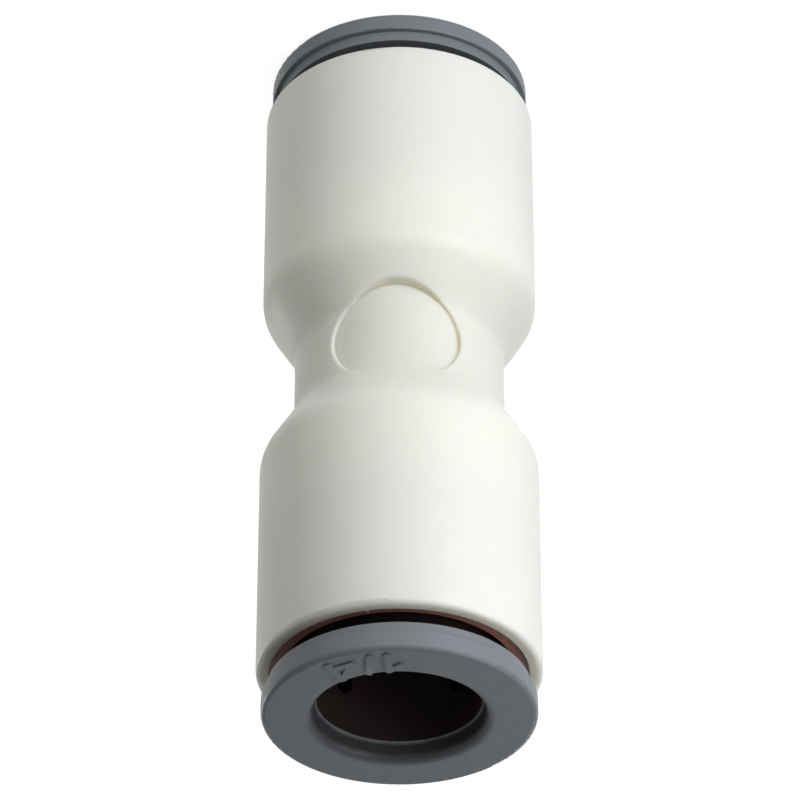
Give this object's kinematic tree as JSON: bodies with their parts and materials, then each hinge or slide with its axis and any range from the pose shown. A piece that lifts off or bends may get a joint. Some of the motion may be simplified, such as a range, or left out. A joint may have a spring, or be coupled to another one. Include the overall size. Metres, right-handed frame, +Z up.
{
  "type": "equal tube connector",
  "caption": "White necked push-in connector that joins two rigid plastic tubes of one size end to end, with a grey release collet at each end.",
  "frame": {"origin": "centre of the lower collet's face, which the connector stands on", "axes": "+Z up along the tube axis; -Y is the side of the waist that has the oval recess"},
  "size_m": [0.0113, 0.0112, 0.0309],
  "materials": {
    "body_white": "satin moulded polymer",
    "collet_grey": "matt moulded polymer",
    "ring_brown": "matt moulded polymer",
    "grip_steel": "bright stamped",
    "washer_black": "matt moulded polymer",
    "seal_rubber": "matt"
  },
  "bodies": {
    "connector": {"body": "body_white", "top_retaining_ring": "ring_brown", "bottom_retaining_ring": "ring_brown", "top_grip_ring": "grip_steel", "bottom_grip_ring": "grip_steel", "top_support_washer": "washer_black", "bottom_support_washer": "washer_black", "top_seal": "seal_rubber", "bottom_seal": "seal_rubber"},
    "top_release_collet": {"top_collet": "collet_grey"},
    "bottom_release_collet": {"bottom_collet": "collet_grey"}
  },
  "joints": [
    {"name": "top_release", "type": "slide", "parent": "connector", "child": "top_release_collet", "axis": [0, 0, -1], "range_m": [0, 0.0006], "stiffness_N_per_m": 200, "springref_m": -0.001},
    {"name": "bottom_release", "type": "slide", "parent": "connector", "child": "bottom_release_collet", "axis": [0, 0, 1], "range_m": [0, 0.0006], "stiffness_N_per_m": 200, "springref_m": -0.001}
  ]
}
